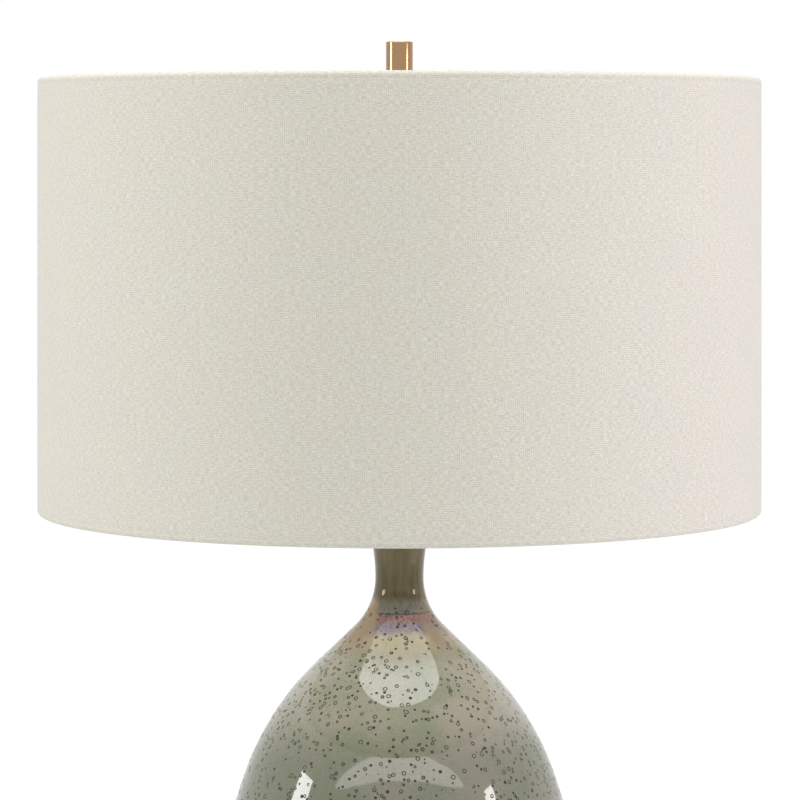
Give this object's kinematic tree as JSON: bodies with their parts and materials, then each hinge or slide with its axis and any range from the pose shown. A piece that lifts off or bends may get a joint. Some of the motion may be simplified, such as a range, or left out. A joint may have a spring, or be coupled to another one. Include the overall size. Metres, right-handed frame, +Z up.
{
  "type": "table lamp",
  "caption": "Table lamp: a narrow-necked egg-shaped glazed jar on a round brass base, with a wide linen drum shade held on a harp by a plain cylindrical finial.",
  "frame": {"origin": "middle of the underside of the felt pad, where the lamp stands on a table", "axes": "+Z up the lamp's axis; the switch knob points to -Y, the front; the cord bushing is at +Y, the back; the harp lies in the XZ plane"},
  "size_m": [0.458, 0.458, 0.7114],
  "materials": {
    "felt": "dense black felt",
    "base_brass": "spun and turned, satin antique brass",
    "weight_iron": "as cast",
    "zinc_steel": "zinc plated",
    "bushing_plastic": "moulded, satin",
    "glaze": "glossy grey-green lustre glaze with small dark ring-shaped pits and a rust, ochre and violet band below an olive-brown neck",
    "gasket_rubber": "soft sheet",
    "fitting_brass": "satin antique brass",
    "harp_brass": "plated wire, satin",
    "socket_brass": "pressed sheet, polished",
    "paper": "plain",
    "phenolic": "moulded",
    "contact_brass": "pressed",
    "knob_plastic": "moulded, polished",
    "bulb_white": "frosted white",
    "bulb_cap": "rolled",
    "bulb_black": "fused glass insulator, drawn as dark gloss",
    "solder": "solder",
    "spider_brass": "plated wire and stamping",
    "ring_steel": "bright wire",
    "liner": "stiff white sheet",
    "linen": "off-white plain-woven linen",
    "finial_brass": "turned, satin antique brass"
  },
  "bodies": {
    "lamp": {"felt_pad": "felt", "base_cover": "base_brass", "base_weight": "weight_iron", "bottom_clamp_washer": "zinc_steel", "bottom_lock_washer": "zinc_steel", "bottom_nut": "zinc_steel", "cord_bushing": "bushing_plastic", "foot_gasket": "gasket_rubber", "jar_body": "glaze", "neck_gasket": "gasket_rubber", "neck_cap": "fitting_brass", "neck_nut": "zinc_steel", "neck_tube": "fitting_brass", "lamp_pipe": "zinc_steel", "harp_saddle": "harp_brass", "harp_bow": "harp_brass", "harp_stud": "harp_brass", "socket_cap": "socket_brass", "socket_set_screw": "zinc_steel", "socket_shell": "socket_brass", "socket_paper_tube": "paper", "socket_core": "phenolic", "socket_terminal_screws": "contact_brass", "socket_screw_shell": "contact_brass", "socket_center_contact": "contact_brass"},
    "shade": {"spider_hub": "spider_brass", "spider_arms": "spider_brass", "shade_top_ring": "ring_steel", "shade_bottom_ring": "ring_steel", "shade_liner": "liner", "shade_fabric": "linen"},
    "finial": {"finial": "finial_brass"},
    "bulb": {"bulb_glass": "bulb_white", "bulb_screw_cap": "bulb_cap", "bulb_insulator": "bulb_black", "bulb_contact": "solder"},
    "switch_key": {"switch_stem": "contact_brass", "switch_knob": "knob_plastic"},
    "harp_lock_left": {"harp_sleeve_left": "harp_brass"},
    "harp_lock_right": {"harp_sleeve_right": "harp_brass"}
  },
  "joints": [
    {"name": "shade_swivel", "type": "hinge", "parent": "lamp", "child": "shade", "pos_m": [0, 0, 0.67325], "axis": [0, 0, 1], "continuous": true},
    {"name": "finial_turn", "type": "hinge", "parent": "lamp", "child": "finial", "pos_m": [0, 0, 0.67325], "axis": [0, 0, 1], "continuous": true},
    {"name": "bulb_turn", "type": "hinge", "parent": "lamp", "child": "bulb", "pos_m": [0, 0, 0.465], "axis": [0, 0, 1], "continuous": true},
    {"name": "switch_turn", "type": "hinge", "parent": "lamp", "child": "switch_key", "pos_m": [0, -0.0145, 0.45125], "axis": [0, -1, 0], "continuous": true},
    {"name": "harp_lock_left_slide", "type": "slide", "parent": "lamp", "child": "harp_lock_left", "axis": [0, 0, 1], "range_m": [0, 0.02]},
    {"name": "harp_lock_right_slide", "type": "slide", "parent": "lamp", "child": "harp_lock_right", "axis": [0, 0, 1], "range_m": [0, 0.02]}
  ]
}
